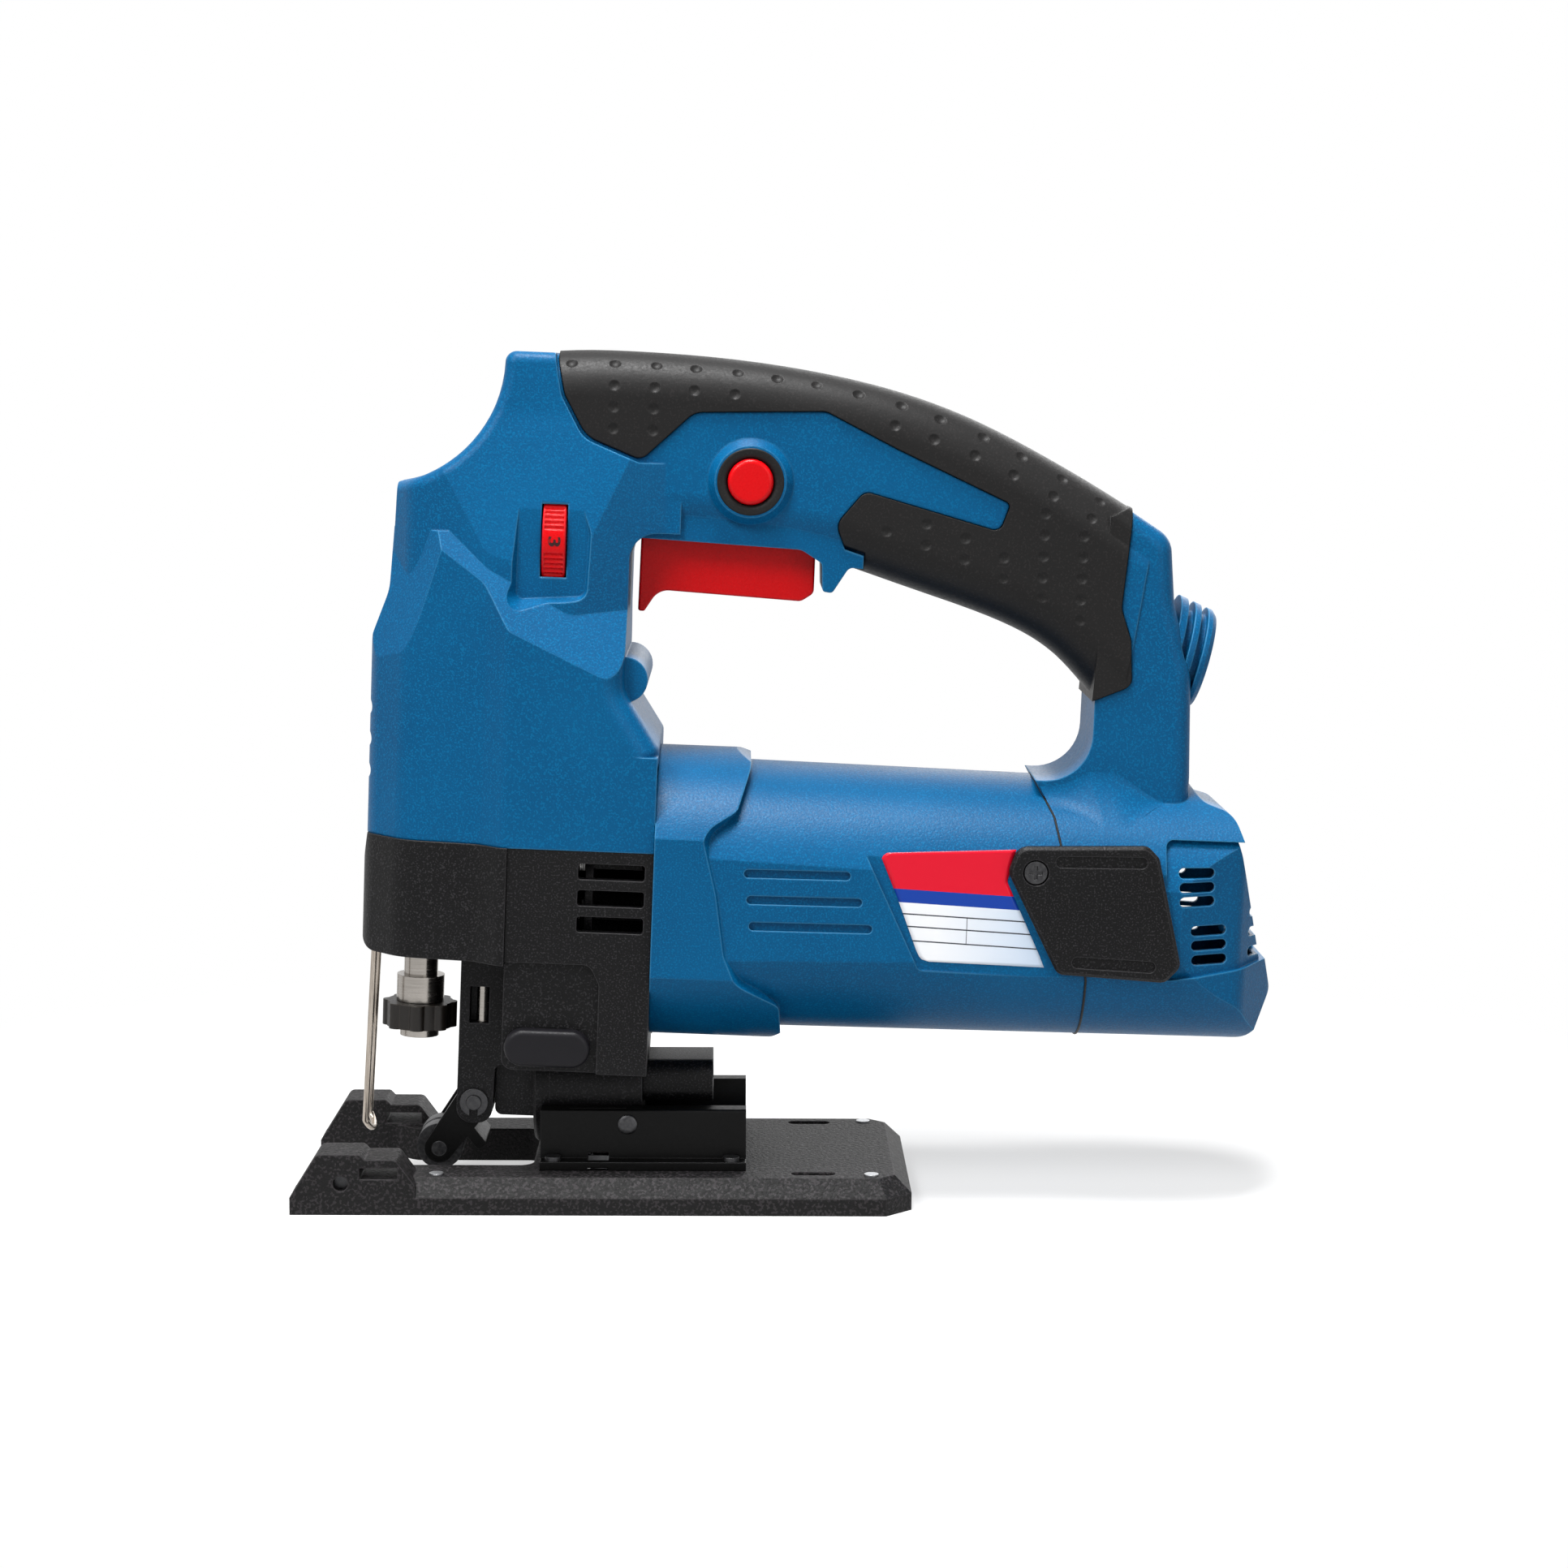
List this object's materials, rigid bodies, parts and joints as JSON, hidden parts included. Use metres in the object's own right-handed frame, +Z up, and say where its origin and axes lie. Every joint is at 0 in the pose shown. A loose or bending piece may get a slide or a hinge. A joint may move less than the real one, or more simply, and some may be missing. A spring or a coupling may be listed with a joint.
{
  "type": "corded jigsaw",
  "caption": "Hand-held electric jigsaw with a D-handle, motor barrel, gear head, reciprocating plunger, guide roller and tilting base plate.",
  "frame": {"origin": "on the sole plane, at the middle of the overall length and width", "axes": "+Z up from the sole, +X towards the motor tail, -X the cutting front, +Y the operator's right-hand side seen from behind the tail"},
  "size_m": [0.2608, 0.078, 0.226],
  "materials": {
    "blue_shell": "fine moulded texture",
    "grip_rubber": "soft matte",
    "black_plastic": "fine spark texture",
    "grey_plastic": "satin",
    "red_plastic": "semi gloss",
    "screw_steel": "zinc plated",
    "bright_steel": "ground",
    "dark_steel": "blackened",
    "bronze": "sintered",
    "copper": "enamelled",
    "carbon": "pressed carbon"
  },
  "bodies": {
    "head": {"left_shell": "blue_shell", "right_shell": "blue_shell", "left_grip_pad": "grip_rubber", "right_grip_pad": "grip_rubber", "cord_gland": "blue_shell", "shell_screws": "screw_steel", "motor_housing": "blue_shell", "left_brush_cover": "black_plastic", "right_brush_cover": "black_plastic", "brush_cover_screws": "screw_steel", "gear_housing": "black_plastic", "nose_cover": "black_plastic", "wire_guard": "bright_steel", "gear_pin": "bright_steel", "upper_bush": "bronze", "lower_bush": "bronze", "plunger_seal": "grip_rubber", "front_bearing": "bright_steel", "rear_bearing": "bright_steel", "stator_core": "dark_steel", "field_coils": "copper", "brush_holders": "bronze", "carbon_brushes": "carbon", "switch_module": "black_plastic", "speed_module": "black_plastic", "lever_pin": "bright_steel", "lever_clips": "screw_steel", "stop_pin": "bright_steel", "lower_guide": "dark_steel", "dust_outlet": "black_plastic", "bevel_screw": "screw_steel"},
    "base": {"base_plate": "black_plastic", "bevel_bracket": "dark_steel", "bracket_rivets": "screw_steel", "sole_rivets": "screw_steel", "fence_screws": "screw_steel"},
    "armature": {"armature_shaft": "bright_steel", "pinion": "dark_steel", "armature_core": "dark_steel", "armature_windings": "copper", "commutator": "copper", "fan": "black_plastic"},
    "drive": {"drive_gear": "dark_steel", "crank_roller": "dark_steel"},
    "plunger_unit": {"plunger": "bright_steel", "blade_clamp": "bright_steel"},
    "clamp_collar": {"clamp_ring": "dark_steel"},
    "lever": {"roller_lever": "dark_steel", "roller_axle": "bright_steel"},
    "roller": {"guide_roller": "bright_steel"},
    "selector": {"selector_knob": "grey_plastic", "selector_shaft": "bright_steel"},
    "trigger_unit": {"trigger": "red_plastic"},
    "lock": {"lock_button": "red_plastic"},
    "dial": {"speed_dial": "red_plastic"}
  },
  "joints": [
    {"name": "base_tilt", "type": "hinge", "parent": "head", "child": "base", "pos_m": [-0.04, 0, 0.028], "axis": [1, 0, 0], "range_deg": [-45, 45]},
    {"name": "armature_spin", "type": "hinge", "parent": "head", "child": "armature", "pos_m": [0.00212, 0, 0.07987], "axis": [0.9994, 0, -0.0349], "continuous": true},
    {"name": "gear_spin", "type": "hinge", "parent": "head", "child": "drive", "pos_m": [-0.0704, 0, 0.10941], "axis": [0.9994, 0, -0.0349], "continuous": true},
    {"name": "plunger_slide", "type": "slide", "parent": "head", "child": "plunger_unit", "axis": [0.0349, 0, 0.9994], "range_m": [-0.016, 0.004]},
    {"name": "clamp_turn", "type": "hinge", "parent": "plunger_unit", "child": "clamp_collar", "pos_m": [-0.09961, 0, 0.0466], "axis": [0.0349, 0, 0.9994], "range_deg": [0, 45], "stiffness_Nm_per_rad": 0.08},
    {"name": "lever_swing", "type": "hinge", "parent": "head", "child": "lever", "pos_m": [-0.08397, 0, 0.02444], "axis": [0, 1, 0], "range_deg": [0, 8]},
    {"name": "roller_spin", "type": "hinge", "parent": "lever", "child": "roller", "pos_m": [-0.0938, 0, 0.0108], "axis": [0, 1, 0], "continuous": true},
    {"name": "selector_turn", "type": "hinge", "parent": "head", "child": "selector", "pos_m": [-0.0567, 0, 0.0432], "axis": [0, 1, 0], "range_deg": [0, 90]},
    {"name": "trigger_pull", "type": "slide", "parent": "head", "child": "trigger_unit", "axis": [0.0349, 0, 0.9994], "range_m": [0, 0.005], "stiffness_N_per_m": 1200, "springref_m": -0.002},
    {"name": "lock_press", "type": "slide", "parent": "head", "child": "lock", "axis": [0, 1, 0], "range_m": [0, 0.0035], "stiffness_N_per_m": 600, "springref_m": -0.001},
    {"name": "dial_turn", "type": "hinge", "parent": "head", "child": "dial", "pos_m": [-0.06136, -0.0085, 0.17624], "axis": [0.9994, 0, -0.0349], "range_deg": [-135, 135]}
  ],
  "couplings": [
    {"joint": "gear_spin", "follows": "armature_spin", "ratio": -0.22727}
  ]
}
